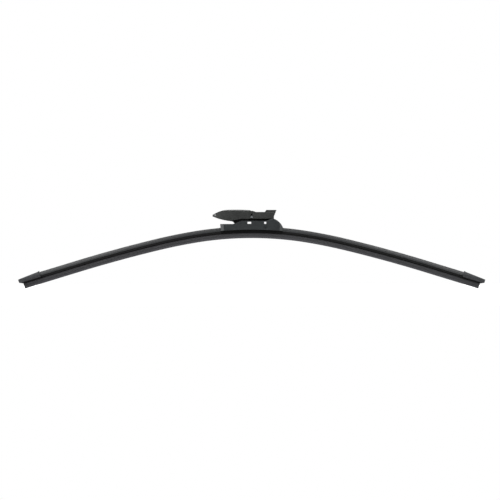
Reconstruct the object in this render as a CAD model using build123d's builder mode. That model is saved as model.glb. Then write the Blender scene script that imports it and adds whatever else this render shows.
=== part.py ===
from build123d import *
from math import cos, degrees, hypot, radians, sin, sqrt
import os

os.makedirs("parts", exist_ok=True)

# Blade arch, measured along the wiping edge. The pivot axis is the origin.
rubber_length = 600.0
inner_bend_radius = 438.0
inner_bend_turn = 9.67
middle_bend_radius = 702.0
middle_bend_turn = 3.94
outer_bend_radius = 1782.0
outer_bend_turn = 3.39
pivot_height = 27.2

# Wiping rubber, from the edge upwards
lip_edge_width = 0.8
lip_root_width = 1.9
lip_height = 4.2
wing_width = 8.8
wing_slope = 0.4
wing_height = 2.0
neck_width = 1.3
neck_height = 1.0
head_width = 5.0
lower_flange = 0.75
upper_flange = 0.85
head_web = 1.5

# Spring rails in the grooves of the rubber's head
rail_width = 3.6
rail_thickness = 0.86
rail_play = 0.05
rail_overrun = 1.6

# Wind spoiler, clipped round the outer edges of the rails
spoiler_height = 15.0
spoiler_shoulder = 10.2
spoiler_overhang = 0.75
spoiler_ridge = 1.4
spoiler_ridge_shift = -0.6
claw_wall = 0.6
claw_reach = 1.45
claw_drop = 0.85
spoiler_sag = 1.0
spoiler_setback = 18.0

# End caps
cap_length = 29.0
cap_overhang = 5.0
cap_wall = 1.0
cap_rim_width = 1.6
cap_rim_proud = 0.3
cap_knee_narrowing = 1.0
cap_knee_drop = 2.0
cap_tip_width = 9.2
cap_tip_bottom = 9.3
cap_tip_top = 13.6
cap_play = 0.12
cap_tip_round = 0.6
cap_foot_inset = 0.8

# Arm hook that the adapter takes, and the layers across the connector
hook_width = 9.0
hook_thickness = 3.0
hook_headroom = 0.4
hook_play = 0.15
layer_gap = 0.2
ear_thickness = 1.3
cover_wall = 1.2
carrier_play = 0.4
carrier_wall = 1.4

# Pivot
rivet_radius = 1.5
rivet_clearance = 0.05
rivet_proud = 0.3
rivet_edge = 0.1
rivet_opening = 0.4
ear_radius = 3.0
ear_sweep_gap = 0.55
boss_radius = 4.0

# Adapter body
adapter_front = 0.3
adapter_back = 28.6
adapter_bottom = -2.6
deck_height = 6.4
fin_front = 17.0
fin_back = 31.9
fin_top = 9.0
fin_thickness = 1.8
fin_foot = 0.7
fin_slope = 1.6
adapter_edge_bevel = 0.5
front_lip_height = 8.0
front_lip_length = 5.5
boss_length = 13.0
pocket_length = 12.0
pocket_depth = 12.0
cheek_front = -31.0
cheek_back = 2.2
cheek_sill = -4.6
keel_brow_x = -24.4
keel_brow_z = -5.9
keel_tip_x = -22.0
keel_tip_z = -8.6
keel_tip_length = 1.2
keel_heel = -15.0
cheek_bottom = -5.5
bridge_length = 4.0

# Nose cover and its hinge
cover_back = -1.4
cover_tail = -0.2
cover_tail_top = 7.8
cover_sweep = 4.4
cover_nose = -50.4
cover_nose_height = 1.6
cover_nose_width = 4.4
cover_nose_blunt = 2.0
cover_nose_depth = 1.4
cover_height_span = 30.0
cover_crown = 9.4
cover_crown_x = 18.0
cover_brow = 33.4
cover_brow_height = 9.0
cover_cheek = 43.6
cover_cheek_top = 6.2
cover_cheek_bottom = -1.9
cover_cheek_width = 10.6
cover_chin = 29.0
cover_chin_height = -5.1
cover_heel = 12.0
cover_heel_height = -2.4
cover_straight = 24.0
cover_dome_radius = 20.0
hinge_x = -3.2
hinge_z = 5.3
hinge_lug_radius = 1.8
trunnion_radius = 1.0
trunnion_clearance = 0.05
hinge_slot_reach = 1.0
hinge_slot_length = 3.5
latch_bottom = -1.0
latch_height = 9.0
latch_half_width = 6.7
notch_front = -1.0
notch_bottom = 1.4
notch_height = 2.8
grip_x = -46.6
grip_z = 2.2
grip_half_width = 3.9
grip_radius = 1.2

# Carrier. Its length runs along the rails.
carrier_length = 79.3903
carrier_underside = 10.9
carrier_floor = -14.4
shelf_height = -9.1
shelf_end = -24.5
wedge_foot = -22.5
wedge_toe = 0.4
wedge_front = -13.5
wall_height = -5.0
rear_wall_front = -5.0
rear_wall_height = -1.7
window_top = -6.1
window_bottom = -8.9
left_window_x = -5.4
left_window_length = 4.7
right_window_x = 16.0
right_window_length = 2.7
hump_front = 19.4
hump_crest = 28.1
hump_crest_height = -2.2
hump_end_level = 15.2
hump_rise_x = 23.4
hump_rise_z = -3.2
hump_fall_sweep = 50.145
end_taper_length = 4.6
end_taper_width = 3.2
hump_edge_bevel = 0.8
channel_front = -26.0
channel_back = 33.0
ear_left = -0.5
ear_right = 15.8
ear_neck_height = -5.6
ear_right_height = -6.3
ear_shoulder = 7.0
ear_lean = 20.0
tongue_bottom = 7.2
recess_x = 18.0
recess_z = -14.0
recess_length = 3.9
recess_height = 2.4
recess_depth = 0.8

# Heights above the wiping edge that follow from the section
wing_bottom = lip_height + wing_slope
wing_top = wing_bottom + wing_height
neck_top = wing_top + neck_height
groove_bottom = neck_top + lower_flange
groove_top = groove_bottom + rail_thickness + 2 * rail_play
head_top = groove_top + upper_flange
rail_level = (groove_bottom + groove_top) / 2
rail_inner = head_web / 2 + rail_play
rail_outer = rail_inner + rail_width
claw_inner = rail_outer + rail_play
claw_half = claw_inner + claw_wall
claw_bottom = groove_bottom - claw_drop
spoiler_half = claw_half + spoiler_overhang
head_room = head_width / 2 + hook_play

# Half widths of the connector's layers, from the middle outwards
core_half = hook_width / 2 + hook_play
ear_inner = core_half + layer_gap
ear_outer = ear_inner + ear_thickness
cheek_half = ear_outer + layer_gap
cover_inner = cheek_half + layer_gap
adapter_half = cover_inner + cover_wall
channel_half = adapter_half + carrier_play
carrier_half = channel_half + carrier_wall
ear_sweep = ear_radius + ear_sweep_gap

# Heights that let the hook pass round the boss and under the cover
seat_height = boss_radius + layer_gap
cover_back_height = boss_radius + hook_thickness + hook_headroom + cover_wall

# Straight tail at each end of the arch, and the height of the edge at mid blade
bend_length = radians(inner_bend_turn) * inner_bend_radius
bend_length += radians(middle_bend_turn) * middle_bend_radius
bend_length += radians(outer_bend_turn) * outer_bend_radius
tail_length = rubber_length / 2 - bend_length
edge_z = -pivot_height


# Right half of the arch at rail level, from an angle in the inner bend to the tail's end
def arch_half(first_turn, tail):
    radius = inner_bend_radius + rail_level
    turned = radians(first_turn)
    first = (radius * sin(turned), edge_z + rail_level - radius * (1 - cos(turned)))
    heading = (cos(turned), -sin(turned))
    with BuildLine(Plane.XZ) as arch:
        inner = JernArc(first, heading, radius, first_turn - inner_bend_turn)
        middle = JernArc(inner @ 1, inner % 1, middle_bend_radius + rail_level, -middle_bend_turn)
        outer = JernArc(middle @ 1, middle % 1, outer_bend_radius + rail_level, -outer_bend_turn)
        Line(outer @ 1, outer @ 1 + (outer % 1) * tail)
    return arch.wire()


# Plane across the blade where a path starts: x is across, y is up from the rails
def section_plane(path):
    return Plane(origin=path @ 0, x_dir=(0, 1, 0), z_dir=path % 0)


# Height above the wiping edge, as seen from the rails
def up(height):
    return height - rail_level


# Spoiler outline: rounded on one flank, hollow on the other, flat along its ridge
def spoiler_outline(half, foot, bottom, shoulder, top, ridge):
    left_ridge = spoiler_ridge_shift - ridge / 2
    right_ridge = spoiler_ridge_shift + ridge / 2
    rise = top - shoulder
    hollow_middle = ((right_ridge + half) / 2 - spoiler_sag, shoulder + rise / 2 - spoiler_sag)
    with BuildSketch() as outline:
        with BuildLine():
            Polyline((-foot, bottom), (-foot, shoulder - half + foot), (-half, shoulder))
            TangentArc((-half, shoulder), (left_ridge, top), tangent=(0, 1))
            Line((left_ridge, top), (right_ridge, top))
            ThreePointArc((right_ridge, top), hollow_middle, (half, shoulder))
            Polyline((half, shoulder), (foot, shoulder - half + foot), (foot, bottom))
            Line((foot, bottom), (-foot, bottom))
        make_face()
    return outline.sketch


full_path = arch_half(0, tail_length)
end_tangent = full_path % 1
end_rail_point = full_path @ 1

# Wiping rubber: lip, wings, neck and grooved head
with BuildPart() as wiper_rubber:
    with BuildSketch(section_plane(full_path)):
        with BuildLine():
            Polyline(
                (0, up(0)),
                (lip_edge_width / 2, up(0)),
                (lip_root_width / 2, up(lip_height)),
                (wing_width / 2, up(wing_bottom)),
                (wing_width / 2, up(wing_top)),
                (neck_width / 2, up(wing_top)),
                (neck_width / 2, up(neck_top)),
                (head_width / 2, up(neck_top)),
                (head_width / 2, up(groove_bottom)),
                (head_web / 2, up(groove_bottom)),
                (head_web / 2, up(groove_top)),
                (head_width / 2, up(groove_top)),
                (head_width / 2, up(head_top)),
                (0, up(head_top)),
            )
            mirror(about=Plane.YZ)
        make_face()
    sweep(path=full_path)
    mirror(about=Plane.YZ)
wiper_rubber.part.label = "wiper_rubber"
export_step(wiper_rubber.part, "parts/wiper_rubber.step")

# Spring rails: two flat strips that carry the arch
rail_path = arch_half(0, tail_length + rail_overrun)
with BuildPart() as spring_rail_rear:
    with BuildSketch(section_plane(rail_path)):
        with Locations((rail_inner + rail_width / 2, 0)):
            Rectangle(rail_width, rail_thickness)
    sweep(path=rail_path)
    mirror(about=Plane.YZ)
spring_rail_rear.part.label = "spring_rail_rear"
export_step(spring_rail_rear.part, "parts/spring_rail_rear.step")

with BuildPart() as spring_rail_front:
    mirror(spring_rail_rear.part, about=Plane.XZ)
spring_rail_front.part.label = "spring_rail_front"
export_step(spring_rail_front.part, "parts/spring_rail_front.step")

# Wind spoilers: one length each side of the carrier
carrier_end_turn = degrees(carrier_length / 2 / (inner_bend_radius + rail_level))
spoiler_turn = carrier_end_turn + degrees(layer_gap / (inner_bend_radius + rail_level))
spoiler_path = arch_half(spoiler_turn, tail_length - spoiler_setback)
with BuildPart() as spoiler_right:
    with BuildSketch(section_plane(spoiler_path)):
        add(
            spoiler_outline(
                spoiler_half,
                claw_half,
                up(claw_bottom),
                up(spoiler_shoulder),
                up(spoiler_height),
                spoiler_ridge,
            )
        )
        Rectangle(2 * claw_inner, rail_thickness + 2 * rail_play, mode=Mode.SUBTRACT)
        with Locations((0, up(claw_bottom))):
            Rectangle(
                2 * (claw_inner - claw_reach),
                groove_bottom - claw_bottom,
                align=(Align.CENTER, Align.MIN),
                mode=Mode.SUBTRACT,
            )
            Rectangle(
                2 * head_room,
                head_top + hook_play - claw_bottom,
                align=(Align.CENTER, Align.MIN),
                mode=Mode.SUBTRACT,
            )
    sweep(path=spoiler_path)
spoiler_right.part.label = "spoiler_right"
export_step(spoiler_right.part, "parts/spoiler_right.step")

with BuildPart() as spoiler_left:
    mirror(spoiler_right.part, about=Plane.YZ)
spoiler_left.part.label = "spoiler_left"
export_step(spoiler_left.part, "parts/spoiler_left.step")


# Plane across the blade's straight tail, at a distance past the rubber's end
def end_section(distance):
    return Plane(origin=end_rail_point + end_tangent * distance, x_dir=(0, 1, 0), z_dir=end_tangent)


# End caps: tapered hoods over the ends of the spoiler and the rails
cap_mouth = cap_overhang - cap_length
cap_bottom = claw_bottom - cap_wall / 2
cap_half = spoiler_half + cap_wall
cap_foot = cap_half - cap_foot_inset
cap_top = spoiler_height + cap_wall
cap_ridge = spoiler_ridge + cap_wall
cap_knee_top = cap_top - cap_knee_drop
cap_knee_half = cap_half - cap_knee_narrowing
cap_tip_half = cap_tip_width / 2
cap_side_plane = Plane(origin=end_rail_point, x_dir=end_tangent, z_dir=(0, -1, 0))
cap_plan_plane = Plane(origin=end_rail_point, x_dir=end_tangent, z_dir=cap_side_plane.y_dir)
with BuildPart() as end_cap_right:
    with BuildSketch(end_section(cap_mouth)):
        add(
            spoiler_outline(
                cap_half, cap_foot, up(cap_bottom), up(spoiler_shoulder), up(cap_top), cap_ridge
            )
        )
    extrude(amount=cap_length)
    with BuildSketch(cap_side_plane):
        with BuildLine():
            mouth_top = (cap_mouth, up(cap_top))
            tip_top = (cap_overhang, up(cap_tip_top))
            tip_bottom = (cap_overhang, up(cap_tip_bottom))
            Polyline(tip_top, tip_bottom, (0, up(cap_bottom)), (cap_mouth, up(cap_bottom)), mouth_top)
            ThreePointArc(mouth_top, (0, up(cap_knee_top)), tip_top)
        make_face()
    extrude(amount=cap_half, both=True, mode=Mode.INTERSECT)
    with BuildSketch(cap_plan_plane):
        with BuildLine():
            tip_side = (cap_overhang, cap_tip_half)
            ThreePointArc((cap_mouth, cap_half), (0, cap_knee_half), tip_side)
            Line(tip_side, (cap_overhang, 0))
            Line((cap_mouth, cap_half), (cap_mouth, 0))
            mirror(about=Plane.XZ)
        make_face()
    extrude(amount=cap_top, both=True, mode=Mode.INTERSECT)
    fillet(end_cap_right.faces().sort_by(Axis.X)[-1].edges(), cap_tip_round)
    with BuildSketch(end_section(cap_mouth)):
        add(
            spoiler_outline(
                cap_half + cap_rim_proud,
                cap_foot + cap_rim_proud,
                up(cap_bottom - cap_rim_proud),
                up(spoiler_shoulder),
                up(cap_top + cap_rim_proud),
                cap_ridge,
            )
        )
    extrude(amount=cap_rim_width)
    with BuildSketch(end_section(cap_mouth)):
        add(
            spoiler_outline(
                spoiler_half + cap_play,
                claw_half + cap_play,
                up(claw_bottom - cap_play),
                up(spoiler_shoulder),
                up(spoiler_height + cap_play),
                spoiler_ridge + cap_play,
            )
        )
    extrude(amount=-cap_mouth - spoiler_setback + cap_play, mode=Mode.SUBTRACT)
    with BuildSketch(end_section(cap_mouth)):
        Rectangle(2 * (rail_outer + rail_play), rail_thickness + 2 * rail_play)
    extrude(amount=-cap_mouth + rail_overrun + cap_play, mode=Mode.SUBTRACT)
    with BuildSketch(end_section(cap_mouth)):
        with Locations((0, up(head_top + hook_play))):
            Rectangle(2 * head_room, head_top, align=(Align.CENTER, Align.MAX))
    extrude(amount=-cap_mouth + cap_play, mode=Mode.SUBTRACT)
end_cap_right.part.label = "end_cap_right"
export_step(end_cap_right.part, "parts/end_cap_right.step")

with BuildPart() as end_cap_left:
    mirror(end_cap_right.part, about=Plane.YZ)
end_cap_left.part.label = "end_cap_left"
export_step(end_cap_left.part, "parts/end_cap_left.step")


# Height of a line that runs along the middle bend, a given height above the wiping edge
def bend_z(x, height):
    return edge_z - inner_bend_radius + sqrt((inner_bend_radius + height) ** 2 - x**2)


# Start, middle and end of an arc along the middle bend
def bend_points(first_x, last_x, height):
    stations = (first_x, (first_x + last_x) / 2, last_x)
    return [(x, bend_z(x, height)) for x in stations]


# Point on the carrier's end, square to the middle bend, a given height above the wiping edge
def end_point(height):
    reach = inner_bend_radius + height
    turned = radians(carrier_end_turn)
    return (reach * sin(turned), edge_z - inner_bend_radius + reach * cos(turned))


# Carrier: channel shaped base that grips the rails and holds the pivot between two ears
tongue_top = carrier_underside + layer_gap
end_foot_x = end_point(carrier_underside)[0]
tongue_foot_x = end_point(tongue_bottom)[0]
tongue_root_x = end_point(tongue_top)[0]
shelf_level = (shelf_height - edge_z + inner_bend_radius) / cos(radians(carrier_end_turn)) - inner_bend_radius
shelf_tip = -end_point(shelf_level)[0]
with BuildPart() as carrier:
    with BuildSketch(Plane.XZ):
        with BuildLine():
            Polyline(
                (-end_foot_x, bend_z(end_foot_x, carrier_underside)),
                (shelf_tip, shelf_height),
                (shelf_end, shelf_height),
                (wedge_foot, shelf_height + wedge_toe),
                (wedge_front, wall_height),
                (hump_front, wall_height),
            )
            crest = (hump_crest, hump_crest_height)
            back = end_point(hump_end_level)
            ThreePointArc((hump_front, wall_height), (hump_rise_x, hump_rise_z), crest)
            fall_chord = hypot(back[0] - crest[0], back[1] - crest[1])
            RadiusArc(crest, back, fall_chord / 2 / sin(radians(hump_fall_sweep / 2)))
            Line(back, (end_foot_x, bend_z(end_foot_x, carrier_underside)))
            ThreePointArc(*bend_points(end_foot_x, -end_foot_x, carrier_underside))
        make_face()
    extrude(amount=carrier_half, both=True)
    flanks = carrier.faces().sort_by(Axis.Y)
    bends = (flanks[0].edges() + flanks[-1].edges()).filter_by(GeomType.CIRCLE)
    chamfer(bends.sort_by(Axis.Z)[2:], hump_edge_bevel)
    with BuildSketch():
        with BuildLine():
            Polyline(
                (0, carrier_half),
                (-shelf_tip - end_taper_length, carrier_half),
                (-shelf_tip, carrier_half - end_taper_width),
                (-shelf_tip, 0),
            )
            mirror(about=Plane.XZ)
            mirror(about=Plane.YZ)
        make_face()
    extrude(amount=pivot_height, both=True, mode=Mode.INTERSECT)
    with BuildSketch(Plane.XZ.offset(-carrier_half)):
        with BuildLine():
            Polyline(
                (wedge_front, wall_height - layer_gap),
                (wedge_front, wall_height),
                (rear_wall_front, rear_wall_height),
                (hump_crest, rear_wall_height),
                (hump_crest, wall_height - layer_gap),
                close=True,
            )
        make_face()
    extrude(amount=carrier_wall)
    with BuildSketch(Plane.XZ):
        with BuildLine():
            lower = ThreePointArc(*bend_points(-tongue_foot_x, tongue_foot_x, tongue_bottom))
            upper = ThreePointArc(*bend_points(tongue_root_x, -tongue_root_x, tongue_top))
            Line(lower @ 1, upper @ 0)
            Line(upper @ 1, lower @ 0)
        make_face()
    extrude(amount=claw_half, both=True)
    with BuildSketch(Plane.XZ):
        with BuildLine():
            Polyline(
                (channel_front, carrier_floor),
                (channel_back, carrier_floor),
                (channel_back, deck_height),
                (channel_front, deck_height),
                close=True,
            )
        make_face()
    extrude(amount=channel_half, both=True, mode=Mode.SUBTRACT)
    with BuildSketch(Plane.XZ):
        for x, length in ((left_window_x, left_window_length), (right_window_x, right_window_length)):
            with Locations((x, window_bottom)):
                Rectangle(length, window_top - window_bottom, align=(Align.MIN, Align.MIN))
    extrude(amount=carrier_half, both=True, mode=Mode.SUBTRACT)
    for ear_face in (ear_inner, -ear_outer):
        with BuildSketch(Plane.XZ.offset(ear_face)):
            with BuildLine():
                Polyline(
                    (ear_left, carrier_floor),
                    (ear_left, ear_neck_height),
                    (-ear_radius * cos(radians(ear_lean)), -ear_radius * sin(radians(ear_lean))),
                    (ear_radius * cos(radians(ear_lean)), -ear_radius * sin(radians(ear_lean))),
                    (ear_shoulder, ear_neck_height),
                    (ear_right, ear_right_height),
                    (ear_right, carrier_floor),
                    close=True,
                )
            make_face()
            Circle(ear_radius)
            Circle(rivet_radius, mode=Mode.SUBTRACT)
        extrude(amount=ear_thickness)
    tunnel_x = (inner_bend_radius + rail_level) * sin(radians(spoiler_turn))
    with BuildLine(Plane.XZ) as tunnel:
        JernArc(
            (-tunnel_x, bend_z(-tunnel_x, rail_level)),
            (cos(radians(spoiler_turn)), sin(radians(spoiler_turn))),
            inner_bend_radius + rail_level,
            -2 * spoiler_turn,
        )
    with BuildSketch(section_plane(tunnel.wire())):
        Rectangle(2 * (rail_outer + rail_play), rail_thickness + 2 * rail_play)
        with Locations((0, up(head_top + hook_play))):
            Rectangle(2 * head_room, head_top, align=(Align.CENTER, Align.MAX))
    sweep(path=tunnel.wire(), mode=Mode.SUBTRACT)
    for side in (-1, 1):
        with Locations((recess_x, side * carrier_half, recess_z)):
            Box(recess_length, 2 * recess_depth, recess_height, mode=Mode.SUBTRACT)
carrier.part.label = "carrier"
export_step(carrier.part, "parts/carrier.step")

# Pivot rivet: steel pin held in the ears, with broken edges
with BuildPart() as pivot_rivet:
    with BuildSketch(Plane.XZ):
        Circle(rivet_radius)
    extrude(amount=ear_outer + rivet_proud, both=True)
    chamfer(pivot_rivet.edges().filter_by(GeomType.CIRCLE), rivet_edge)
pivot_rivet.part.label = "pivot_rivet"
export_step(pivot_rivet.part, "parts/pivot_rivet.step")

# Adapter body: boss for the arm's hook, seat and fins behind it, cheeks in front of it
back_x = adapter_back + (fin_back - adapter_back) * (deck_height - fin_foot) / (fin_top - fin_foot)
boss_end = boss_length + boss_radius + adapter_bottom
with BuildPart() as adapter_body:
    with BuildSketch(Plane.XZ):
        with BuildLine():
            Polyline(
                (adapter_front, adapter_bottom),
                (adapter_back, adapter_bottom),
                (adapter_back, fin_foot),
                (back_x, deck_height),
                (adapter_front + front_lip_length, deck_height),
                (adapter_front, front_lip_height),
                close=True,
            )
        make_face()
    extrude(amount=adapter_half, both=True)
    flanks = adapter_body.faces().sort_by(Axis.Y)
    chamfer(flanks[0].edges() + flanks[-1].edges(), adapter_edge_bevel)
    for side in (cheek_half, -adapter_half):
        with BuildSketch(Plane.XZ.offset(side)):
            Circle(rivet_radius + rivet_opening)
            with Locations((hinge_x, hinge_z)):
                Circle(cover_sweep + layer_gap)
        extrude(amount=adapter_half - cheek_half, mode=Mode.SUBTRACT)
    for side in (core_half, -cheek_half):
        with BuildSketch(Plane.XZ.offset(side)):
            with Locations((0, ear_sweep)):
                Rectangle(pocket_length, pocket_depth, align=(Align.MIN, Align.MAX))
        extrude(amount=cheek_half - core_half, mode=Mode.SUBTRACT)
    with BuildSketch(Plane.XZ):
        with BuildLine():
            Polyline(
                (adapter_front, seat_height),
                (fin_back, seat_height),
                (fin_back, fin_top),
                (adapter_front, fin_top),
                close=True,
            )
        make_face()
    extrude(amount=core_half, both=True, mode=Mode.SUBTRACT)
    with BuildSketch(Plane.XZ):
        with BuildLine():
            Polyline(
                (0, -boss_radius),
                (boss_length, -boss_radius),
                (boss_end, adapter_bottom),
                (boss_end, boss_radius),
                (0, boss_radius),
                close=True,
            )
        make_face()
        Circle(boss_radius)
    extrude(amount=core_half, both=True)
    for side in (core_half, -cheek_half):
        with BuildSketch(Plane.XZ.offset(side)):
            with BuildLine():
                Polyline(
                    (cheek_back, 0),
                    (cheek_back, deck_height),
                    (cheek_front + bridge_length, deck_height),
                    (cheek_front, deck_height - bridge_length),
                    (cheek_front, cheek_sill),
                    (keel_brow_x, keel_brow_z),
                    (keel_tip_x, keel_tip_z),
                    (keel_tip_x + keel_tip_length, keel_tip_z),
                    (keel_heel, cheek_bottom),
                    (-ear_sweep, cheek_bottom),
                    (-ear_sweep, 0),
                    close=True,
                )
            make_face()
            with Locations((hinge_x, hinge_z)):
                Circle(hinge_lug_radius)
            Circle(ear_sweep, mode=Mode.SUBTRACT)
            with Locations((hinge_x, hinge_z)):
                Circle(trunnion_radius + trunnion_clearance, mode=Mode.SUBTRACT)
        extrude(amount=cheek_half - core_half)
    with BuildSketch(Plane.XZ):
        with BuildLine():
            Polyline(
                (cheek_front, 0),
                (cheek_front, deck_height - bridge_length),
                (cheek_front + bridge_length, deck_height),
                (cheek_front + bridge_length, 0),
                close=True,
            )
        make_face()
    extrude(amount=core_half, both=True)
    for side in (core_half, -core_half - fin_thickness):
        with BuildSketch(Plane.XZ.offset(side)):
            with BuildLine():
                Polyline(
                    (fin_front, deck_height - layer_gap),
                    (fin_front, deck_height),
                    (fin_front + fin_slope, fin_top),
                    (fin_back, fin_top),
                    (back_x - layer_gap, deck_height - layer_gap),
                    close=True,
                )
            make_face()
        extrude(amount=fin_thickness)
    with BuildSketch(Plane.XZ):
        Circle(rivet_radius + rivet_clearance)
    extrude(amount=core_half, both=True, mode=Mode.SUBTRACT)
adapter_body.part.label = "adapter_body"
export_step(adapter_body.part, "parts/adapter_body.step")


# Pointed hood of the cover, drawn in all round by a wall and left open below by a drop
def cover_form(wall, back, drop):
    nose = cover_nose + cover_nose_depth * wall
    side = adapter_half - wall
    top = [(back, cover_back_height - wall), (-cover_crown_x, cover_crown - wall)]
    brow = (-cover_brow, cover_brow_height - wall)
    chin = (-cover_chin, cover_chin_height - drop)
    heel = (-cover_heel, cover_heel_height - drop)
    nose_top = (nose, cover_nose_height + (cover_nose_blunt - wall) / 2)
    nose_bottom = (nose, cover_nose_height - (cover_nose_blunt + wall) / 2)
    cheek_top = (-cover_cheek, cover_cheek_top - wall)
    cheek_base = (-cover_cheek, cover_cheek_bottom - drop / 2)
    cheek_side = (-cover_cheek, cover_cheek_width / 2 - wall)
    nose_side = (nose, cover_nose_width / 2 - wall)
    with BuildPart() as form:
        with BuildSketch(Plane.XZ):
            with BuildLine():
                ThreePointArc(nose_bottom, cheek_base, chin)
                Polyline(chin, heel, (back, cover_heel_height - drop), top[0])
                ThreePointArc(*top, brow)
                ThreePointArc(brow, cheek_top, nose_top)
                Line(nose_top, nose_bottom)
            make_face()
        extrude(amount=side, both=True)
        with BuildSketch():
            with BuildLine():
                Line((back, 0), (back, side))
                Line((back, side), (-cover_straight, side))
                ThreePointArc((-cover_straight, side), cheek_side, nose_side)
                Line(nose_side, (nose, 0))
                mirror(about=Plane.XZ)
            make_face()
        extrude(amount=cover_height_span, both=True, mode=Mode.INTERSECT)
        with BuildSketch(Plane.YZ):
            with Locations((0, cover_crown - cover_dome_radius)):
                Circle(cover_dome_radius - wall)
        extrude(amount=-cover_nose, both=True, mode=Mode.INTERSECT)
    return form.part


# Nose cover: pointed hood, open below and behind, that swings up on two trunnions
with BuildPart() as nose_cover:
    add(cover_form(0, cover_back, 0))
    add(cover_form(cover_wall, cover_back + cover_wall, cover_height_span), mode=Mode.SUBTRACT)
    for side in (cover_inner, -adapter_half):
        with BuildSketch(Plane.XZ.offset(side)):
            with Locations((cover_back - cover_wall, cover_heel_height)):
                Rectangle(
                    cover_tail - cover_back + cover_wall,
                    cover_tail_top - cover_heel_height,
                    align=(Align.MIN, Align.MIN),
                )
            with BuildSketch(mode=Mode.PRIVATE) as tail:
                with Locations((hinge_x, hinge_z)):
                    Circle(cover_sweep)
                with Locations((cover_back - cover_wall, cover_tail_top)):
                    Rectangle(cover_sweep * 2, cover_sweep, align=(Align.MIN, Align.MAX), mode=Mode.INTERSECT)
            add(tail.sketch)
        extrude(amount=cover_wall)
    with BuildSketch(Plane.XZ):
        Circle(rivet_radius + rivet_opening)
        with Locations((notch_front, notch_bottom)):
            Rectangle(cover_sweep, notch_height, align=(Align.MIN, Align.MIN))
    extrude(amount=adapter_half, both=True, mode=Mode.SUBTRACT)
    for side in (-1, 1):
        with Locations((grip_x, side * grip_half_width, grip_z)):
            Sphere(grip_radius)
    with BuildSketch(Plane.XZ):
        with Locations((cheek_front - layer_gap, latch_bottom)):
            Rectangle(cover_wall, latch_height, align=(Align.MAX, Align.MIN))
    extrude(amount=latch_half_width, both=True)
    for side in (core_half, -cover_inner):
        with BuildSketch(Plane.XZ.offset(side)):
            with Locations((hinge_x - hinge_slot_reach, hinge_z)):
                Rectangle(hinge_slot_length, cover_crown, align=(Align.MIN, Align.MIN))
        extrude(amount=cover_inner - core_half, mode=Mode.SUBTRACT)
    for side in (core_half + layer_gap, -cover_inner - layer_gap):
        with BuildSketch(Plane.XZ.offset(side)):
            with Locations((hinge_x, hinge_z)):
                Circle(trunnion_radius)
        extrude(amount=cover_inner - core_half)
nose_cover.part.label = "nose_cover"
export_step(nose_cover.part, "parts/nose_cover.step")
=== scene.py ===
import bmesh
import bpy
from math import atan2, cos, hypot, pi, radians, sin
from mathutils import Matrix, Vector


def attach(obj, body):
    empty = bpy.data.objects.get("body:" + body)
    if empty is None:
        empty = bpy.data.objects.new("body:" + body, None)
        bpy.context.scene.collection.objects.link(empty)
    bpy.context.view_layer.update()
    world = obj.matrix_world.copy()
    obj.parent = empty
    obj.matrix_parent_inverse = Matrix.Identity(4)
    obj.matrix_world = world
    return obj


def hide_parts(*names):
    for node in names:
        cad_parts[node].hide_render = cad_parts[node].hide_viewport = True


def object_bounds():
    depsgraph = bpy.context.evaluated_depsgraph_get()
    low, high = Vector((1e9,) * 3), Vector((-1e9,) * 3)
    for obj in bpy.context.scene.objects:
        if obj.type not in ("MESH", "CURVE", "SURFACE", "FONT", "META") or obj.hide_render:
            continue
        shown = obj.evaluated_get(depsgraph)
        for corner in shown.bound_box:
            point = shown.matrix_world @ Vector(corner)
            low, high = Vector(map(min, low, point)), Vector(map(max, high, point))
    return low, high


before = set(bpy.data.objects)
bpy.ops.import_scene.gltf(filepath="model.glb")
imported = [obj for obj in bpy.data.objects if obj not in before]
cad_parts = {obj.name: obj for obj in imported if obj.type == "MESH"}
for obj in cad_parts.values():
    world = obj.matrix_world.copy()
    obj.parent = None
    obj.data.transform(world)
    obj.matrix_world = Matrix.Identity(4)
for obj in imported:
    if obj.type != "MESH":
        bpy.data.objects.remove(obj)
cadLow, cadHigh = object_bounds()  # the CAD box, before anything is added
print("frame loaded:", len(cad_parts), "nodes")

mm = 0.001
scene = bpy.context.scene


def linearColour(hexCode):
    parts = [int(hexCode[i:i + 2], 16) / 255 for i in (1, 3, 5)]
    return [p / 12.92 if p <= 0.04045 else ((p + 0.055) / 1.055) ** 2.4 for p in parts] + [1.0]


def addNode(tree, kind, values=None, links=None, **settings):
    node = tree.nodes.new(kind)
    for key, value in settings.items():
        setattr(node, key, value)
    for socket, value in (values or {}).items():
        node.inputs[socket].default_value = value
    for socket, source in (links or {}).items():
        tree.links.new(source, node.inputs[socket])
    return node


def newMaterial(name):
    material = bpy.data.materials.new(name)
    material.use_nodes = True
    tree = material.node_tree
    return material, tree, tree.nodes["Principled BSDF"]


def dressSurface(tree, bsdf, s, toneBy, glossBy, reliefBy):  # two tones, a span of roughness, a fine relief
    tint = addNode(tree, "ShaderNodeValToRGB", links={"Fac": toneBy})
    for stop, position, tone in zip(tint.color_ramp.elements, s["spread"], (s["dark"], s["light"])):
        stop.position = position
        stop.color = linearColour(tone)
    gloss = addNode(tree, "ShaderNodeMapRange", {"To Min": s["roughness"][0], "To Max": s["roughness"][1]},
                    {"Value": glossBy})
    bump = addNode(tree, "ShaderNodeBump", {"Strength": s["relief"], "Distance": s["depth"] * mm},
                   {"Height": reliefBy})
    tree.links.new(tint.outputs["Color"], bsdf.inputs["Base Color"])
    tree.links.new(gloss.outputs["Result"], bsdf.inputs["Roughness"])
    tree.links.new(bump.outputs["Normal"], bsdf.inputs["Normal"])
    return tint


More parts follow.
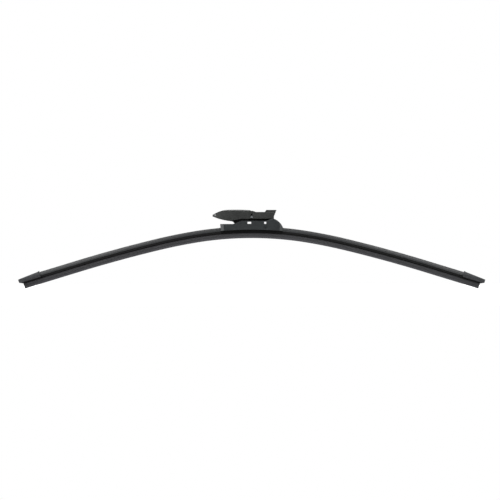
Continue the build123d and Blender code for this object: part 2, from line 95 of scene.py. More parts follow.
# Natural rubber, extruded and dusted with graphite: dry and dark grey, with faint streaks along its length.
# The dust lies thick on the lip and thins out up the wing, and the colour also darkens up the wing as painted
# shade under the spoiler, so the blade's edge is its palest part.
graphiteRubber = {
    "name": "naturalRubberDustedAndShaded", "ior": 1.52, "sheen": 0.25,
    "dark": "#37373a", "light": "#454548", "spread": (0.35, 0.65),
    "dustedAndShaded": (-8.8, -2.2), "bareAndShaded": 0.22,  # mm from the rails, lip to wing, and the colour left up there, thinned dust and painted shade
    "roughness": (0.62, 0.78), "relief": 0.5, "depth": 0.02,  # mm
    "streakLength": 45, "streakWidth": 0.9,  # mm, the real streaks are near 0.3 and are drawn wider to show
    "powder": 0.5, "powderShare": 0.4,  # mm, coarser than the real dust
}


def makeGraphiteRubber(s):
    material, tree, bsdf = newMaterial(s["name"])
    uv = addNode(tree, "ShaderNodeUVMap", uv_map="bladeUV")
    streaksPerMetre = (1 / (s["streakLength"] * mm), 1 / (s["streakWidth"] * mm), 1)
    drawn = addNode(tree, "ShaderNodeMapping", {"Scale": streaksPerMetre}, {"Vector": uv.outputs["UV"]})
    streak = addNode(tree, "ShaderNodeTexNoise", {"Scale": 1.0, "Detail": 3.0, "Roughness": 0.6},
                     {"Vector": drawn.outputs["Vector"]})
    place = addNode(tree, "ShaderNodeTexCoord")
    powder = addNode(tree, "ShaderNodeTexNoise", {"Scale": 1 / (s["powder"] * mm), "Detail": 4.0},
                     {"Vector": place.outputs["Object"]})
    blend = addNode(tree, "ShaderNodeMix", {"Factor": s["powderShare"]},
                    {"A": streak.outputs["Fac"], "B": powder.outputs["Fac"]}, data_type="FLOAT")
    mixed = blend.outputs["Result"]
    tint = dressSurface(tree, bsdf, s, mixed, mixed, mixed)
    rise = addNode(tree, "ShaderNodeAttribute", attribute_name="bladeRise")
    # painted shade: the colour is scaled down from the lip to the wing, partly graphite dust and partly shade
    # under the spoiler
    dustAndShade = addNode(tree, "ShaderNodeMapRange",
                   {"From Min": s["dustedAndShaded"][0] * mm, "From Max": s["dustedAndShaded"][1] * mm,
                    "To Min": 1.0, "To Max": s["bareAndShaded"]}, {"Value": rise.outputs["Fac"]})
    dustAndShadeCoat = addNode(tree, "ShaderNodeVectorMath",
                   links={0: tint.outputs["Color"], "Scale": dustAndShade.outputs["Result"]}, operation="SCALE")
    tree.links.new(dustAndShadeCoat.outputs["Vector"], bsdf.inputs["Base Color"])
    bsdf.inputs["IOR"].default_value = s["ior"]
    bsdf.inputs["Specular IOR Level"].default_value = s["sheen"]
    return material


# Thermoplastic elastomer, extruded: satin black with fine die lines that run the whole length
spoilerElastomer = {
    "name": "elastomerExtrudedSatin", "ior": 1.5,
    "sheen": (0.14, 0.34), "dimmedSpan": (90, 190),  # mm from mid blade, painted shade: less shine towards mid blade, standing in for less light there
    "dark": "#222324", "light": "#2d2e2f", "spread": (0.3, 0.7),
    "roughness": (0.4, 0.52), "relief": 0.4, "depth": 0.03,  # mm, the die's fine scoring breaks up the shine
    "lineLength": 120, "lineWidth": 0.6,  # mm, real die lines are near 0.2 and are drawn wider to show
    "bloom": 30,  # mm, slow change of gloss along the blade
}
# Polypropylene, extruded with the elastomer as its hard base: dead matt black, drawn darker still as painted
# shade under the spoiler's shoulder
spoilerBaseShaded = {
    "name": "polypropyleneExtrudedMattShaded", "ior": 1.5,
    "sheen": (0.08, 0.08), "dimmedSpan": (90, 190),
    "dark": "#101010", "light": "#151515", "spread": (0.3, 0.7),
    "roughness": (0.75, 0.85), "relief": 0.4, "depth": 0.02,
    "lineLength": 120, "lineWidth": 0.6,
    "bloom": 30,
}


def makeExtrudedPlastic(s):
    material, tree, bsdf = newMaterial(s["name"])
    uv = addNode(tree, "ShaderNodeUVMap", uv_map="bladeUV")
    linesPerMetre = (1 / (s["lineLength"] * mm), 1 / (s["lineWidth"] * mm), 1)
    drawn = addNode(tree, "ShaderNodeMapping", {"Scale": linesPerMetre}, {"Vector": uv.outputs["UV"]})
    lines = addNode(tree, "ShaderNodeTexNoise", {"Scale": 1.0, "Detail": 4.0, "Roughness": 0.65},
                    {"Vector": drawn.outputs["Vector"]})
    place = addNode(tree, "ShaderNodeTexCoord")
    bloom = addNode(tree, "ShaderNodeTexNoise", {"Scale": 1 / (s["bloom"] * mm), "Detail": 2.0},
                    {"Vector": place.outputs["Object"]})
    dressSurface(tree, bsdf, s, lines.outputs["Fac"], bloom.outputs["Fac"], lines.outputs["Fac"])
    # painted shade: the shine is turned down towards mid blade, standing in for less light falling there
    spot = addNode(tree, "ShaderNodeSeparateXYZ", links={"Vector": uv.outputs["UV"]})
    distance = addNode(tree, "ShaderNodeMath", links={0: spot.outputs["X"]}, operation="ABSOLUTE")
    sheen = addNode(tree, "ShaderNodeMapRange",
                    {"From Min": s["dimmedSpan"][0] * mm, "From Max": s["dimmedSpan"][1] * mm,
                     "To Min": s["sheen"][0], "To Max": s["sheen"][1]}, {"Value": distance.outputs["Value"]})
    tree.links.new(sheen.outputs["Result"], bsdf.inputs["Specular IOR Level"])
    bsdf.inputs["IOR"].default_value = s["ior"]
    return material


# Moulded plastics: the spark-eroded tool leaves an even fine grain, and the flow a slow change of sheen
carrierPbt = {
    "name": "pbtMouldedSatin", "ior": 1.48, "sheen": 0.25,  # the grain breaks up the shine
    "dark": "#181b1c", "light": "#202324", "spread": (0.3, 0.7),
    "roughness": (0.42, 0.55), "relief": 0.35, "depth": 0.025,  # mm
    "grain": 0.45, "flow": 9,  # mm, the real grain is near 0.1 and is drawn coarser to show
}
adapterAcetal = {
    "name": "acetalMouldedFineGrain", "ior": 1.48, "sheen": 0.25,
    "dark": "#1b1c1b", "light": "#242524", "spread": (0.3, 0.7),
    "roughness": (0.46, 0.6), "relief": 0.35, "depth": 0.02,
    "grain": 0.35, "flow": 7,
}
capPolypropylene = {
    "name": "polypropyleneMouldedFineGrain", "ior": 1.48, "sheen": 0.25,
    "dark": "#212224", "light": "#2a2b2d", "spread": (0.3, 0.7),
    "roughness": (0.44, 0.58), "relief": 0.35, "depth": 0.02,
    "grain": 0.4, "flow": 6,
}
adapterGlint = {
    "name": "acetalPaintedGlint", "ior": 1.48, "sheen": 0.5,  # painted highlight: pale and glossy, so the knobs glint
    "dark": "#5c5d5c", "light": "#6c6d6c", "spread": (0.3, 0.7),
    "roughness": (0.18, 0.26), "relief": 0.35, "depth": 0.004,
    "grain": 0.35, "flow": 3,
}
# Painted shade: faces in recesses, under other parts and in the gaps between them are dull near black where
# shade falls
shadedCore = {
    "ior": 1.48, "sheen": 0.08,
    "dark": "#060606", "light": "#0a0a0a", "spread": (0.3, 0.7),
    "roughness": (0.75, 0.85), "relief": 0.35, "depth": 0.01,
    "grain": 0.3,
}
carrierShade = dict(shadedCore, name="pbtMouldedShaded", flow=9)
adapterShade = dict(shadedCore, name="acetalMouldedShaded", flow=7)
capShade = dict(shadedCore, name="polypropyleneMouldedShaded", flow=6)


def makeMouldedPlastic(s):
    material, tree, bsdf = newMaterial(s["name"])
    place = addNode(tree, "ShaderNodeTexCoord")
    grain = addNode(tree, "ShaderNodeTexVoronoi", {"Scale": 1 / (s["grain"] * mm)},
                    {"Vector": place.outputs["Object"]}, feature="SMOOTH_F1")
    flow = addNode(tree, "ShaderNodeTexNoise", {"Scale": 1 / (s["flow"] * mm), "Detail": 3.0},
                   {"Vector": place.outputs["Object"]})
    dressSurface(tree, bsdf, s, flow.outputs["Fac"], flow.outputs["Fac"], grain.outputs["Distance"])
    bsdf.inputs["IOR"].default_value = s["ior"]
    bsdf.inputs["Specular IOR Level"].default_value = s["sheen"]
    return material


# Zinc plated steel, turned: bright, with fine rings round the pin's axis
rivetSteel = {
    "name": "zincPlatedSteelTurned",
    "dark": "#8d9094", "light": "#b4b7ba", "spread": (0.0, 1.0),
    "roughness": (0.28, 0.42), "relief": 0.4, "depth": 0.015,  # mm
    "ring": 0.3, "wander": 0.6,  # mm, the real feed is near 0.08 and is drawn coarser to show
}


def makeRivetSteel(s):
    material, tree, bsdf = newMaterial(s["name"])
    place = addNode(tree, "ShaderNodeTexCoord")
    ringScale = 2 * pi / (20 * s["ring"] * mm)  # the wave texture turns 20 radians for each unit of its scale
    rings = addNode(tree, "ShaderNodeTexWave", {"Scale": ringScale, "Distortion": s["wander"], "Detail": 1.0},
                    {"Vector": place.outputs["Object"]}, wave_type="RINGS", rings_direction="Y")
    dressSurface(tree, bsdf, s, rings.outputs["Fac"], rings.outputs["Fac"], rings.outputs["Fac"])
    bsdf.inputs["Metallic"].default_value = 1.0
    return material


# Spring steel, dipped in black paint: smooth and even, with a slight orange peel
railSteel = {
    "name": "springSteelBlackDipped",
    "dark": "#2c2c2f", "light": "#3a3a3d", "spread": (0.0, 1.0),
    "roughness": (0.3, 0.42), "relief": 0.3, "depth": 0.01,  # mm
    "peel": 1.2,
}


def makeRailSteel(s):
    material, tree, bsdf = newMaterial(s["name"])
    place = addNode(tree, "ShaderNodeTexCoord")
    peel = addNode(tree, "ShaderNodeTexNoise", {"Scale": 1 / (s["peel"] * mm), "Detail": 2.0},
                   {"Vector": place.outputs["Object"]})
    dressSurface(tree, bsdf, s, peel.outputs["Fac"], peel.outputs["Fac"], peel.outputs["Fac"])
    return material


rubberFinish = makeGraphiteRubber(graphiteRubber)
spoilerFinish = makeExtrudedPlastic(spoilerElastomer)
baseShadeFinish = makeExtrudedPlastic(spoilerBaseShaded)
carrierFinish = makeMouldedPlastic(carrierPbt)
adapterFinish = makeMouldedPlastic(adapterAcetal)
capFinish = makeMouldedPlastic(capPolypropylene)
gripGlintFinish = makeMouldedPlastic(adapterGlint)
carrierShadeFinish = makeMouldedPlastic(carrierShade)
adapterShadeFinish = makeMouldedPlastic(adapterShade)
capShadeFinish = makeMouldedPlastic(capShade)
rivetFinish = makeRivetSteel(rivetSteel)
railFinish = makeRailSteel(railSteel)
print("materials made:", len(bpy.data.materials))

# The blade's arch at the height of its rails: three bends and a straight tail on each side, in mm and degrees
railLevel = 8.83  # rails above the wiping edge
pivotHeight = 27.2  # pivot above the wiping edge at mid blade
railSlot = (8.35, 9.31)  # bottom and top of the groove round the rails, above the wiping edge
bladeHalf = 302.615  # half of the blade, along its rails
arch = {
    "Inner radius": 438 + railLevel, "Inner turn": 9.67,
    "Middle radius": 702 + railLevel, "Middle turn": 3.94,
    "Outer radius": 1782 + railLevel, "Outer turn": 3.39,
    "Rail height": railLevel - pivotHeight,
}
bends = ("Inner", "Middle", "Outer")


def makeBladeTree():
    tree = bpy.data.node_groups.new("bladeExtrusion", "GeometryNodeTree")
    tree.is_modifier = True
    tree.interface.new_socket("Section", in_out="INPUT", socket_type="NodeSocketGeometry")
    for name in list(arch) + ["Start", "End", "Base height"]:
        tree.interface.new_socket(name, in_out="INPUT", socket_type="NodeSocketFloat")
    for name in ("Stations", "Corner steps"):
        tree.interface.new_socket(name, in_out="INPUT", socket_type="NodeSocketInt")
    for name in ("Finish", "Base finish"):
        tree.interface.new_socket(name, in_out="INPUT", socket_type="NodeSocketMaterial")
    tree.interface.new_socket("Blade", in_out="OUTPUT", socket_type="NodeSocketGeometry")
    given = addNode(tree, "NodeGroupInput").outputs

    # the section's corners are rounded, and each point keeps its place across the blade
    loop = addNode(tree, "GeometryNodeMeshToCurve", links={"Mesh": given["Section"]})
    corner = addNode(tree, "GeometryNodeInputNamedAttribute", {"Name": "cornerRadius"}, data_type="FLOAT")
    rounded = addNode(tree, "GeometryNodeFilletCurve", {"Limit Radius": True},
                      {"Curve": loop.outputs["Curve"], "Radius": corner.outputs["Attribute"],
                       "Count": given["Corner steps"]}, mode="POLY")
    along = addNode(tree, "GeometryNodeSplineParameter")
    spot = addNode(tree, "GeometryNodeInputPosition")
    across = addNode(tree, "GeometryNodeCaptureAttribute", domain="POINT")
    across.capture_items.new("VECTOR", "Across")
    across.capture_items.new("FLOAT", "Girth")
    tree.links.new(rounded.outputs["Curve"], across.inputs["Geometry"])
    tree.links.new(spot.outputs["Position"], across.inputs["Across"])
    tree.links.new(along.outputs["Length"], across.inputs["Girth"])

    # a straight run from start to end, cut into even stations
    first = addNode(tree, "ShaderNodeCombineXYZ", links={"X": given["Start"]})
    last = addNode(tree, "ShaderNodeCombineXYZ", links={"X": given["End"]})
    line = addNode(tree, "GeometryNodeCurvePrimitiveLine",
                   links={"Start": first.outputs["Vector"], "End": last.outputs["Vector"]})
    run = addNode(tree, "GeometryNodeResampleCurve",
                  links={"Curve": line.outputs["Curve"], "Count": given["Stations"]})
    runSpot = addNode(tree, "GeometryNodeInputPosition")
    station = addNode(tree, "ShaderNodeSeparateXYZ", links={"Vector": runSpot.outputs["Position"]})
    stations = addNode(tree, "GeometryNodeCaptureAttribute", domain="POINT")
    stations.capture_items.new("FLOAT", "Station")
    tree.links.new(run.outputs["Curve"], stations.inputs["Geometry"])
    tree.links.new(station.outputs["X"], stations.inputs["Station"])
    straight = addNode(tree, "GeometryNodeCurveToMesh", {"Fill Caps": True},
                       {"Curve": stations.outputs["Geometry"], "Profile Curve": across.outputs["Geometry"]})

    # where each bend begins, and how long it is
    distance = addNode(tree, "ShaderNodeMath", links={0: stations.outputs["Station"]}, operation="ABSOLUTE")
    side = addNode(tree, "ShaderNodeMath", links={0: stations.outputs["Station"]}, operation="SIGN")
    section = addNode(tree, "ShaderNodeSeparateXYZ", links={"Vector": across.outputs["Across"]})
    begin, length = {}, {}
    reach = addNode(tree, "ShaderNodeMath", {0: 0.0, 1: 0.0}, operation="ADD")
    for bend in bends:
        begin[bend] = reach
        length[bend] = addNode(tree, "ShaderNodeMath", operation="MULTIPLY",
                               links={0: given[bend + " radius"], 1: given[bend + " turn"]})
        reach = addNode(tree, "ShaderNodeMath",
                        links={0: reach.outputs[0], 1: length[bend].outputs[0]}, operation="ADD")

    # the straight extrusion is rolled round each bend, the outer one first
    point = addNode(tree, "ShaderNodeCombineXYZ",
                    links={"X": distance.outputs[0], "Y": section.outputs["Y"], "Z": section.outputs["Z"]})
    for bend in reversed(bends):
        radius = given[bend + " radius"]
        past = addNode(tree, "ShaderNodeMath",
                       links={0: distance.outputs[0], 1: begin[bend].outputs[0]}, operation="SUBTRACT")
        rolled = addNode(tree, "ShaderNodeClamp", {"Min": 0.0},
                         {"Value": past.outputs[0], "Max": length[bend].outputs[0]})
        back = addNode(tree, "ShaderNodeCombineXYZ", links={"X": rolled.outputs["Result"]})
        moved = addNode(tree, "ShaderNodeVectorMath",
                        links={0: point.outputs[0], 1: back.outputs["Vector"]}, operation="SUBTRACT")
        below = addNode(tree, "ShaderNodeMath", {0: 0.0}, {1: radius}, operation="SUBTRACT")
        centre = addNode(tree, "ShaderNodeCombineXYZ",
                         links={"X": begin[bend].outputs[0], "Z": below.outputs[0]})
        swing = addNode(tree, "ShaderNodeMath",
                        links={0: rolled.outputs["Result"], 1: radius}, operation="DIVIDE")
        point = addNode(tree, "ShaderNodeVectorRotate", {"Axis": (0, 1, 0)},
                        {"Vector": moved.outputs["Vector"], "Center": centre.outputs["Vector"],
                         "Angle": swing.outputs[0]}, rotation_type="AXIS_ANGLE")
    handed = addNode(tree, "ShaderNodeCombineXYZ", {"Y": 1.0, "Z": 1.0}, {"X": side.outputs[0]})
    lifted = addNode(tree, "ShaderNodeCombineXYZ", links={"Z": given["Rail height"]})
    place = addNode(tree, "ShaderNodeVectorMath",
                    links={0: point.outputs[0], 1: handed.outputs["Vector"], 2: lifted.outputs["Vector"]},
                    operation="MULTIPLY_ADD")
    bent = addNode(tree, "GeometryNodeSetPosition",
                   links={"Geometry": straight.outputs["Mesh"], "Position": place.outputs["Vector"]})

    # a map along and round the extrusion, for lines that follow it, and the height over the rails
    flat = addNode(tree, "ShaderNodeCombineXYZ",
                   links={"X": stations.outputs["Station"], "Y": across.outputs["Girth"]})
    mapped = addNode(tree, "GeometryNodeStoreNamedAttribute", {"Name": "bladeUV"},
                     {"Geometry": bent.outputs["Geometry"], "Value": flat.outputs["Vector"]},
                     data_type="FLOAT2", domain="CORNER")
    risen = addNode(tree, "GeometryNodeStoreNamedAttribute", {"Name": "bladeRise"},
                    {"Geometry": mapped.outputs["Geometry"], "Value": section.outputs["Z"]},
                    data_type="FLOAT", domain="POINT")

    # one finish all over, and another below the base height
    smooth = addNode(tree, "GeometryNodeSetShadeSmooth", links={"Geometry": risen.outputs["Geometry"]})
    real = addNode(tree, "GeometryNodeRealizeInstances", links={"Geometry": smooth.outputs["Geometry"]})
    finished = addNode(tree, "GeometryNodeSetMaterial",
                       links={"Geometry": real.outputs["Geometry"], "Material": given["Finish"]})
    under = addNode(tree, "ShaderNodeMath",
                    links={0: section.outputs["Z"], 1: given["Base height"]}, operation="LESS_THAN")
    based = addNode(tree, "GeometryNodeSetMaterial",
                    links={"Geometry": finished.outputs["Geometry"], "Selection": under.outputs[0],
                           "Material": given["Base finish"]})
    addNode(tree, "NodeGroupOutput", links={"Blade": based.outputs["Geometry"]})
    return tree


bladeTree = makeBladeTree()
socketIds = {item.name: item.identifier for item in bladeTree.interface.items_tree if item.in_out == "INPUT"}
extrusionCrease = 40  # degrees, sharper edges of an extrusion stay creased


def evaluatedMesh(maker):
    graph = bpy.context.evaluated_depsgraph_get()
    shown = maker.evaluated_get(graph)
    return bpy.data.meshes.new_from_object(shown, preserve_all_data_layers=True, depsgraph=graph)


def finishNormals(piece, crease):  # large faces stay flat, and the rounds between them shade smoothly
    piece.data.set_sharp_from_angle(angle=radians(crease))
    weighted = piece.modifiers.new("flatFaces", "WEIGHTED_NORMAL")
    weighted.keep_sharp = True


def extrudedPiece(name, corners, sizes, finish, underFinish):
    mesh = bpy.data.meshes.new(name + "Section")
    count = len(corners)
    edges = [(i, (i + 1) % count) for i in range(count)]
    mesh.from_pydata([(0, y * mm, (z - railLevel) * mm) for y, z, r in corners], edges, [])
    radii = mesh.attributes.new("cornerRadius", "FLOAT", "POINT")
    radii.data.foreach_set("value", [r * mm for y, z, r in corners])
    maker = bpy.data.objects.new(name + "Section", mesh)
    scene.collection.objects.link(maker)
    modifier = maker.modifiers.new("bladeExtrusion", "NODES")
    modifier.node_group = bladeTree
    inputs = {
        "Rail height": arch["Rail height"] * mm,
        "Start": sizes["start"] * mm, "End": sizes["end"] * mm,
        "Stations": sizes["stations"], "Corner steps": sizes["cornerSteps"],
        "Base height": (sizes["base"] - railLevel) * mm,
        "Finish": finish, "Base finish": underFinish,
    }
    for bend in bends:
        inputs[bend + " radius"] = arch[bend + " radius"] * mm
        inputs[bend + " turn"] = radians(arch[bend + " turn"])
    for socket, value in inputs.items():
        modifier[socketIds[socket]] = value
    made = evaluatedMesh(maker)
    bpy.data.objects.remove(maker)
    made.name = name
    piece = bpy.data.objects.new(name, made)
    scene.collection.objects.link(piece)
    finishNormals(piece, extrusionCrease)
    print(name, "extruded:", len(made.polygons), "faces")
    return piece


def arcThrough(a, b, c, steps):  # points after a and before c on the circle through three points
    (ax, ay), (bx, by), (cx, cy) = a, b, c
    d = 2 * (ax * (by - cy) + bx * (cy - ay) + cx * (ay - by))
    ux = ((ax**2 + ay**2) * (by - cy) + (bx**2 + by**2) * (cy - ay) + (cx**2 + cy**2) * (ay - by)) / d
    uy = ((ax**2 + ay**2) * (cx - bx) + (bx**2 + by**2) * (ax - cx) + (cx**2 + cy**2) * (bx - ax)) / d
    radius = hypot(ax - ux, ay - uy)
    first, last = atan2(ay - uy, ax - ux), atan2(cy - uy, cx - ux)
    turn = (last - first + pi) % (2 * pi) - pi
    angles = [first + turn * i / steps for i in range(1, steps)]
    return [(ux + radius * cos(angle), uy + radius * sin(angle)) for angle in angles]


# Wiping rubber: lip, wings, neck and grooved head. Heights are above the wiping edge, in mm.
rubber = {
    "lipEdge": 0.4, "lipRoot": 0.95, "lipHeight": 4.2,
    "wing": 4.4, "wingBottom": 4.6, "wingTop": 6.6,
    "neck": 0.65, "neckTop": 7.6,
    "head": 2.5, "web": 0.75, "headTop": 10.16,
    "edgeRound": 0.06, "rootRound": 0.35, "wingRound": 0.3, "neckRound": 0.1, "headRound": 0.15,
    "base": 0.0,  # one compound from the edge up
    "start": -bladeHalf, "end": bladeHalf, "stations": 303, "cornerSteps": 3,
}


def rubberCorners(s):
    slotBottom, slotTop = railSlot
    right = [
        (s["lipEdge"], 0, s["edgeRound"]), (s["lipRoot"], s["lipHeight"], s["rootRound"]),
        (s["wing"], s["wingBottom"], s["wingRound"]), (s["wing"], s["wingTop"], s["wingRound"]),
        (s["neck"], s["wingTop"], s["neckRound"]), (s["neck"], s["neckTop"], s["neckRound"]),
        (s["head"], s["neckTop"], s["headRound"]), (s["head"], slotBottom, s["neckRound"]),
        (s["web"], slotBottom, 0), (s["web"], slotTop, 0),
        (s["head"], slotTop, s["neckRound"]), (s["head"], s["headTop"], s["headRound"]),
    ]
    return right + [(-y, z, r) for y, z, r in reversed(right)]


wipingRubber = extrudedPiece("wipingRubber", rubberCorners(rubber), rubber, rubberFinish, rubberFinish)
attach(wipingRubber, "blade")
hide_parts("wiper_rubber")

# Wind spoiler: rounded on one flank, hollow on the other, with claws under the rails. Heights as above.
spoiler = {
    "half": 5.8, "foot": 5.05, "bottom": 7.5, "undercut": 9.45, "shoulder": 10.2, "top": 15.0,
    "ridgeLeft": -1.3, "ridgeRight": 0.1, "sag": 1.0,
    "clawTip": 3.0, "slotWall": 4.45, "headRoom": 2.65, "headTop": 10.31,
    "ridgeRound": 0.35, "shoulderRound": 0.5, "clawRound": 0.4, "tipRound": 0.2, "slotRound": 0.1,
    "base": 10.1,  # the hard base reaches up to the shoulder, its near black is painted shade under the shoulder
    "arcSteps": 12,
    "near": 39.72, "far": bladeHalf - 18,  # mm along the rails from mid blade, close up to the carrier
    "stations": 122, "cornerSteps": 3,
}


def spoilerCorners(s):
    slotBottom, slotTop = railSlot
    leftShoulder, rightShoulder = (-s["half"], s["shoulder"]), (s["half"], s["shoulder"])
    leftRidge, rightRidge = (s["ridgeLeft"], s["top"]), (s["ridgeRight"], s["top"])
    drop, rise = s["ridgeLeft"] + s["half"], s["top"] - s["shoulder"]
    radius = (drop**2 + rise**2) / (2 * drop)  # the round flank leaves the shoulder straight up
    reach = atan2(rise, radius - drop)
    crown = (-s["half"] + radius * (1 - cos(reach / 2)), s["shoulder"] + radius * sin(reach / 2))
    hollow = ((s["ridgeRight"] + s["half"]) / 2 - s["sag"], (s["top"] + s["shoulder"]) / 2 - s["sag"])
    outside = [(-s["foot"], s["bottom"], s["clawRound"]), (-s["foot"], s["undercut"], 0), (*leftShoulder, 0)]
    outside += [(y, z, 0) for y, z in arcThrough(leftShoulder, crown, leftRidge, s["arcSteps"])]
    outside += [(*leftRidge, s["ridgeRound"]), (*rightRidge, s["ridgeRound"])]
    outside += [(y, z, 0) for y, z in arcThrough(rightRidge, hollow, rightShoulder, s["arcSteps"])]
    outside += [(*rightShoulder, s["shoulderRound"])]
    outside += [(s["foot"], s["undercut"], 0), (s["foot"], s["bottom"], s["clawRound"])]
    inside = [
        (s["clawTip"], s["bottom"], s["tipRound"]), (s["clawTip"], slotBottom, s["slotRound"]),
        (s["slotWall"], slotBottom, 0), (s["slotWall"], slotTop, 0),
        (s["headRoom"], slotTop, 0), (s["headRoom"], s["headTop"], 0),
    ]
    return outside + inside + [(-y, z, r) for y, z, r in reversed(inside)]


for side, name, node in ((-1, "windSpoilerLeft", "spoiler_left"), (1, "windSpoilerRight", "spoiler_right")):
    start, end = sorted((side * spoiler["near"], side * spoiler["far"]))
    sizes = dict(spoiler, start=start, end=end)
    wing = extrudedPiece(name, spoilerCorners(spoiler), sizes, spoilerFinish, baseShadeFinish)
    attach(wing, "blade")
    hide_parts(node)

# Mouldings: a merged copy of each CAD piece, with the small round edges that a mould leaves, in mm.
# Faces inside the shade boxes (x from and to, half width, z from and to) get the second finish, painted shade
# where recesses and gaps lie in shade.
mouldings = {
    "carrier": {
        "piece": "carrierMoulding", "body": "blade", "slot": "carrier_plastic", "round": 0.25,
        "finish": carrierFinish, "inside": carrierShadeFinish,
        "shadeBoxes": [(-26.1, 33.1, 8.2, -14.5, 3.0), (-45.0, 45.0, 5.4, -24.0, -16.2)],
    },
    "adapter_body": {
        "piece": "adapterMoulding", "body": "adapter", "slot": "adapter_plastic", "round": 0.2,
        "finish": adapterFinish, "inside": adapterShadeFinish,
        "shadeBoxes": [(-32.0, 3.0, 6.5, -9.0, 6.3), (0.0, 30.0, 8.0, -4.5, -2.5)],
    },
    "nose_cover": {
        "piece": "noseHood", "body": "cover", "slot": "adapter_plastic", "round": 0.25,
        "finish": adapterFinish, "inside": gripGlintFinish,
        "grips": [(-46.6, -3.9, 2.2, 1.2), (-46.6, 3.9, 2.2, 1.2)],  # centre and radius of each knob with the painted highlight
        "tongue": (-6.0, 4.65, 0.07),  # behind this x, walls at this half width are drawn in to swing free
    },
    "end_cap_left": {
        "piece": "endCapLeft", "body": "blade", "slot": "cap_plastic", "round": 0.2,
        "finish": capFinish, "inside": capShadeFinish,
        "shadeSkirt": (-1, 8.6),  # side of the blade, and how far the skirt of painted shade reaches above the wiping edge
    },
    "end_cap_right": {
        "piece": "endCapRight", "body": "blade", "slot": "cap_plastic", "round": 0.2,
        "finish": capFinish, "inside": capShadeFinish,
        "shadeSkirt": (1, 8.6),
    },
}
mouldWork = {
    "merge": 0.002, "flat": 0.2,  # mm and degrees, points and faces that differ by less become one
    "edge": 30, "steps": 2,  # degrees, sharper edges are rounded, in so many steps
    "crease": 50,  # degrees, what is sharper after that stays creased
    "onWall": 0.02, "onKnob": 0.05,  # mm, points this near to a wall or a knob lie on it
}
lipEnd = min((v.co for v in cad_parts["wiper_rubber"].data.vertices), key=lambda c: c.z)
tailTurn = radians(sum(arch[bend + " turn"] for bend in bends))


def skirtPlane(side, height):  # a plane along the blade's straight tail, a height above the wiping edge
    up = Vector((side * sin(tailTurn), 0, cos(tailTurn)))
    return Vector((side * abs(lipEnd.x), 0, lipEnd.z)) + up * height * mm, up


def mergedMesh(node, s):
    work = bmesh.new()
    work.from_mesh(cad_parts[node].data)
    bmesh.ops.remove_doubles(work, verts=work.verts, dist=mouldWork["merge"] * mm)
    bmesh.ops.dissolve_limit(work, angle_limit=radians(mouldWork["flat"]), verts=work.verts, edges=work.edges)
    if "shadeSkirt" in s:
        edge, up = skirtPlane(*s["shadeSkirt"])
        whole = work.verts[:] + work.edges[:] + work.faces[:]
        bmesh.ops.bisect_plane(work, geom=whole, plane_co=edge, plane_no=up)
    work.verts.index_update()
    mesh = bpy.data.meshes.new(s["piece"] + "Merged")
    mesh.from_pydata([v.co for v in work.verts], [], [[v.index for v in f.verts] for f in work.faces])
    work.free()
    mesh.polygons.foreach_set("use_smooth", [True] * len(mesh.polygons))
    mesh.set_sharp_from_angle(angle=radians(mouldWork["edge"]))
    mesh.materials.append(s["finish"])
    # the second finish: painted shade, or on the hood's knobs a painted highlight
    mesh.materials.append(s["inside"])
    return mesh


def roundEdges(piece, s):
    rounding = piece.modifiers.new("mouldedEdge", "BEVEL")
    rounding.width = s["round"] * mm
    rounding.segments = mouldWork["steps"]
    rounding.limit_method = "ANGLE"
    rounding.angle_limit = radians(mouldWork["edge"])
    rounding.use_clamp_overlap = False
    merged, rounded = piece.data, evaluatedMesh(piece)
    piece.modifiers.clear()
    piece.data = rounded
    bpy.data.meshes.remove(merged)
    rounded.name = s["piece"]


def keepInBox(mesh, cadMesh):  # no rounded corner stands out of the piece's own box
    corners = [v.co for v in cadMesh.vertices]
    for i in range(3):
        least, most = min(c[i] for c in corners), max(c[i] for c in corners)
        for v in mesh.vertices:
            v.co[i] = min(max(v.co[i], least), most)


def drawTongueIn(mesh, tongue):
    behind, half, play = (size * mm for size in tongue)
    for v in mesh.vertices:
        if v.co.x > behind and abs(abs(v.co.y) - half) < mouldWork["onWall"] * mm:
            v.co.y *= (half - play) / half


def getsPaintedLight(mesh, face, s):
    x, y, z = face.center / mm
    # painted shade: faces inside the shade boxes
    if any(a < x < b and abs(y) < half and c < z < d for a, b, half, c, d in s.get("shadeBoxes", [])):
        return True
    points = [mesh.vertices[i].co / mm for i in face.vertices]
    # painted highlight: faces on a knob's ball get the pale glossy finish
    for *centre, radius in s.get("grips", []):
        if all(abs((p - Vector(centre)).length - radius) < mouldWork["onKnob"] for p in points):
            return True
    # painted shade: the cap's faces below the plane are dark
    if "shadeSkirt" in s:
        edge, up = skirtPlane(*s["shadeSkirt"])
        return (face.center - edge).dot(up) < 0
    return False


def mouldedCopy(node, s):
    piece = bpy.data.objects.new(s["piece"], mergedMesh(node, s))
    scene.collection.objects.link(piece)
    roundEdges(piece, s)
    keepInBox(piece.data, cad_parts[node].data)
    if "tongue" in s:
        drawTongueIn(piece.data, s["tongue"])
    for face in piece.data.polygons:
        face.material_index = int(getsPaintedLight(piece.data, face, s))
    finishNormals(piece, mouldWork["crease"])
    print(s["piece"], "copied:", len(piece.data.polygons), "faces")
    return piece


for node, settings in mouldings.items():
    moulding = mouldedCopy(node, settings)
    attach(moulding, settings["body"])
    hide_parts(node)

# The rivet and the rails are the CAD's own, with their steel
steelParts = {"pivot_rivet": rivetFinish, "spring_rail_front": railFinish, "spring_rail_rear": railFinish}
for node, finish in steelParts.items():
    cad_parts[node].data.materials.clear()
    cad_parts[node].data.materials.append(finish)
print("steel dressed:", len(steelParts), "pieces")

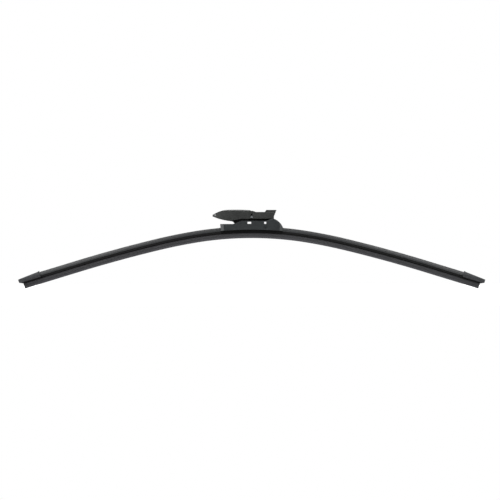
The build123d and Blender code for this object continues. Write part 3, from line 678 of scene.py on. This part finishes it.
# Floor under the two tips that the blade stands on. Sizes in m, from the blade's middle.
floor = {
    "name": "paperSweep", "half": 1.2, "front": -0.9, "back": 0.35,
    "material": "paperMatt", "dark": "#f2f2f2", "light": "#f8f8f8",
    "mottle": 60, "roughness": 0.9,  # mm, soft clouds in the sheet
    "glow": 0.12,  # the paper lies on a light table
}


def makePaper(s):
    material, tree, bsdf = newMaterial(s["material"])
    place = addNode(tree, "ShaderNodeTexCoord")
    mottle = addNode(tree, "ShaderNodeTexNoise", {"Scale": 1 / (s["mottle"] * mm)},
                     {"Vector": place.outputs["Object"]})
    tint = addNode(tree, "ShaderNodeValToRGB", links={"Fac": mottle.outputs["Fac"]})
    for stop, tone in zip(tint.color_ramp.elements, (s["dark"], s["light"])):
        stop.color = linearColour(tone)
    tree.links.new(tint.outputs["Color"], bsdf.inputs["Base Color"])
    bsdf.inputs["Roughness"].default_value = s["roughness"]
    bsdf.inputs["Emission Color"].default_value = (1, 1, 1, 1)
    bsdf.inputs["Emission Strength"].default_value = s["glow"]
    return material


wide, near, far = floor["half"], floor["front"], floor["back"]
sheet = bpy.data.meshes.new(floor["name"])
sheet.from_pydata([(x, y, cadLow.z) for x, y in ((-wide, near), (wide, near), (wide, far), (-wide, far))],
                  [], [(0, 1, 2, 3)])
sheet.materials.append(makePaper(floor))
ground = bpy.data.objects.new(floor["name"], sheet)
scene.collection.objects.link(ground)

# Studio: a large soft box above the camera's side, one low on each side and one behind, in a dim room
studio = {
    "room": 0.1, "backdrop": 1.0,  # brightness of the room's light, and of the white that the camera sees
    "boxes": {  # m and W
        "key": {"place": (0.0, -0.4, 1.4), "size": (2.4, 1.6), "power": 46},
        "left": {"place": (-1.9, -0.7, 0.25), "size": (0.8, 0.8), "power": 40},
        "right": {"place": (1.9, -0.7, 0.25), "size": (0.8, 0.8), "power": 24},
        "back": {"place": (0.0, 1.3, 1.3), "size": (1.6, 0.5), "power": 14},
    },
}
world = bpy.data.worlds.new("paleRoom")
scene.world = world
world.use_nodes = True
tree = world.node_tree
room = tree.nodes["Background"]
room.inputs["Strength"].default_value = studio["room"]
room.inputs["Color"].default_value = (1, 1, 1, 1)
white = addNode(tree, "ShaderNodeBackground", {"Color": (1, 1, 1, 1), "Strength": studio["backdrop"]})
path = addNode(tree, "ShaderNodeLightPath")
seen = addNode(tree, "ShaderNodeMixShader",
               links={0: path.outputs["Is Camera Ray"], 1: room.outputs[0], 2: white.outputs[0]})
tree.links.new(seen.outputs[0], tree.nodes["World Output"].inputs["Surface"])
for name, settings in studio["boxes"].items():
    light = bpy.data.lights.new(name + "Box", "AREA")
    light.shape = "RECTANGLE"
    light.size, light.size_y = settings["size"]
    light.energy = settings["power"]
    lamp = bpy.data.objects.new(name + "Box", light)
    scene.collection.objects.link(lamp)
    lamp.location = settings["place"]
    aim = -lamp.location  # at the pivot
    lamp.rotation_euler = aim.to_track_quat("-Z", "Y").to_euler()
scene.view_settings.view_transform = "Standard"

# Camera, level with the middle of the arch and looking square at the blade
view = {
    "place": (-0.0022, -3.0, -0.0425), "width": 0.6438,  # m, width of the picture at the blade
    "sensor": 36.0, "reach": 100,
}
camera = bpy.data.cameras.new("camera")
camera.sensor_width = view["sensor"]
camera.lens = view["sensor"] * -view["place"][1] / view["width"]
camera.clip_end = view["reach"]
eye = bpy.data.objects.new("camera", camera)
scene.collection.objects.link(eye)
eye.location = view["place"]
eye.rotation_euler = (radians(90), 0, 0)
scene.camera = eye
print("studio set")
